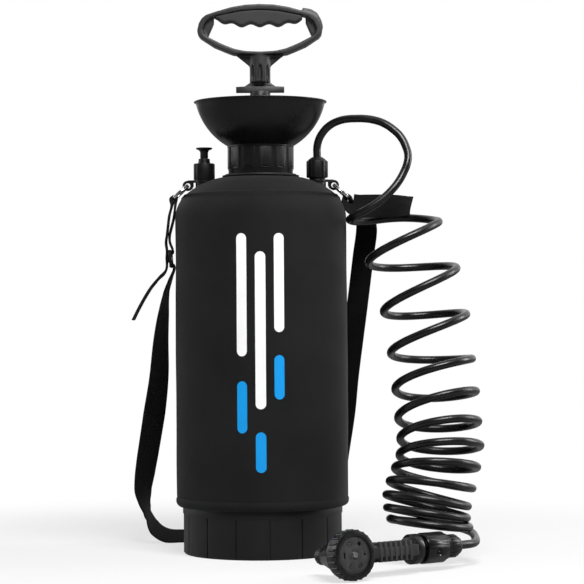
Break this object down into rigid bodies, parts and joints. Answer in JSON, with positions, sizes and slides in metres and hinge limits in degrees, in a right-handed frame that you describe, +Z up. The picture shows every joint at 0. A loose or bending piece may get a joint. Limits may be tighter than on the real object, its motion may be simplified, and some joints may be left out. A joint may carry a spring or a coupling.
{
  "type": "pump-up pressure shower",
  "caption": "Hand-pumped pressure water bottle in a fabric sleeve, with a filling bowl, carrying strap, coiled hose and a dial spray gun.",
  "frame": {"origin": "centre of the foot's underside, on the bottle's axis, on the floor", "axes": "+Z up along the bottle's axis, +X towards the hose outlet and its coil, -Y towards the side that the spray gun lies on"},
  "size_m": [0.378, 0.4122, 0.5905],
  "materials": {
    "tank_plastic": "blow-moulded, satin",
    "sleeve_fabric": "neoprene with a fine knitted face",
    "black_plastic": "satin moulded",
    "bowl_plastic": "smooth satin",
    "foot_plastic": "satin moulded",
    "grip_soft": "matt grey, fine-textured",
    "natural_plastic": "translucent natural",
    "seal_rubber": "matt",
    "webbing": "woven polyester",
    "spring_steel": "bright wire",
    "hose_pu": "glossy hose",
    "gun_plastic": "satin moulded"
  },
  "bodies": {
    "tank": {"tank": "tank_plastic", "sleeve": "sleeve_fabric", "foot": "foot_plastic", "neck_washer": "seal_rubber", "neck_nut": "black_plastic", "funnel": "bowl_plastic", "valve_body": "black_plastic", "valve_nut": "black_plastic", "valve_spring": "spring_steel", "outlet_spigot": "black_plastic", "outlet_gasket": "seal_rubber", "outlet_nut": "black_plastic", "dip_tube": "natural_plastic", "dip_strainer": "natural_plastic", "strap_lug_left": "black_plastic", "strap_lug_right": "black_plastic", "strap": "webbing", "hose_lead": "hose_pu", "hose_coil": "hose_pu", "hose_tail": "hose_pu", "hose_nut": "gun_plastic", "coupling_body": "gun_plastic", "collar_spring": "spring_steel"},
    "valve": {"valve_knob": "black_plastic", "valve_seal": "seal_rubber"},
    "ring_left": {"strap_ring_left": "spring_steel"},
    "ring_right": {"strap_ring_right": "spring_steel"},
    "slider": {"strap_slider": "black_plastic"},
    "pump_seal": {"pump_gasket": "seal_rubber"},
    "pump": {"pump_cap": "black_plastic", "pump_barrel": "natural_plastic", "foot_valve": "seal_rubber"},
    "piston_seal": {"piston_ring": "seal_rubber"},
    "plunger": {"piston": "natural_plastic", "rod": "black_plastic", "handle": "black_plastic", "handle_grip": "grip_soft"},
    "collar": {"coupling_collar": "gun_plastic"},
    "coupling_seal": {"coupling_seal": "seal_rubber"},
    "gun": {"gun_body": "gun_plastic", "gun_adaptor": "gun_plastic", "trigger_pin": "spring_steel", "trigger_spring": "spring_steel"},
    "trigger": {"trigger": "grip_soft"},
    "gun_valve": {"gun_valve": "spring_steel"},
    "dial": {"dial": "gun_plastic", "dial_face": "grip_soft", "dial_screw": "spring_steel"},
    "rear_knob": {"rear_knob": "gun_plastic"}
  },
  "joints": [
    {"name": "valve_pull", "type": "slide", "parent": "tank", "child": "valve", "axis": [0, 0, 1], "range_m": [0, 0.005], "stiffness_N_per_m": 400, "springref_m": -0.001, "deforming": ["valve_spring"]},
    {"name": "ring_left_swing", "type": "hinge", "parent": "tank", "child": "ring_left", "pos_m": [-0.079, 0, 0.3955], "axis": [0, 1, 0], "range_deg": [-14, 14], "deforming": ["strap"]},
    {"name": "ring_right_swing", "type": "hinge", "parent": "tank", "child": "ring_right", "pos_m": [0.079, 0, 0.3955], "axis": [0, 1, 0], "range_deg": [-14, 14], "deforming": ["strap"]},
    {"name": "strap_adjust", "type": "slide", "parent": "tank", "child": "slider", "axis": [0.0825, -0.1101, 0.9905], "range_m": [-0.015, 0.015], "deforming": ["strap"]},
    {"name": "pump_lift", "type": "slide", "parent": "tank", "child": "pump_seal", "axis": [0, 0, 1], "range_m": [0, 0.3]},
    {"name": "pump_turn", "type": "hinge", "parent": "pump_seal", "child": "pump", "pos_m": [0, 0, 0.449], "axis": [0, 0, 1], "continuous": true},
    {"name": "plunger_stroke", "type": "slide", "parent": "pump", "child": "piston_seal", "axis": [0, 0, 1], "range_m": [-0.033, 0.185]},
    {"name": "handle_turn", "type": "hinge", "parent": "piston_seal", "child": "plunger", "pos_m": [0, 0, 0.246], "axis": [0, 0, 1], "range_deg": [0, 90]},
    {"name": "collar_slide", "type": "slide", "parent": "tank", "child": "collar", "axis": [0.8192, 0.5736, 0], "range_m": [0, 0.003], "stiffness_N_per_m": 600, "springref_m": -0.001, "deforming": ["collar_spring"]},
    {"name": "gun_pull", "type": "slide", "parent": "tank", "child": "coupling_seal", "axis": [-0.8192, -0.5736, 0], "range_m": [0, 0.03]},
    {"name": "gun_swivel", "type": "hinge", "parent": "coupling_seal", "child": "gun", "pos_m": [0.16582, -0.18272, 0.023], "axis": [0.8192, 0.5736, 0], "continuous": true},
    {"name": "trigger_squeeze", "type": "hinge", "parent": "gun", "child": "trigger", "pos_m": [0.10066, -0.24048, 0.02405], "axis": [-0.06, 0.0856, 0.9945], "range_deg": [0, 7], "stiffness_Nm_per_rad": 2, "springref_deg": -1.72, "deforming": ["trigger_spring"]},
    {"name": "water_valve", "type": "slide", "parent": "gun", "child": "gun_valve", "axis": [-0.5704, 0.8147, -0.1045], "range_m": [0, 0.0026]},
    {"name": "dial_turn", "type": "hinge", "parent": "gun", "child": "dial", "pos_m": [0.0753, -0.2461, 0.023], "axis": [0.5704, -0.8147, 0.1045], "continuous": true},
    {"name": "flow_knob_turn", "type": "hinge", "parent": "gun", "child": "rear_knob", "pos_m": [0.0753, -0.2461, 0.023], "axis": [0.5704, -0.8147, 0.1045], "range_deg": [0, 270]}
  ],
  "couplings": [
    {"joint": "water_valve", "follows": "trigger_squeeze", "m_per_rad": 0.020463}
  ]
}
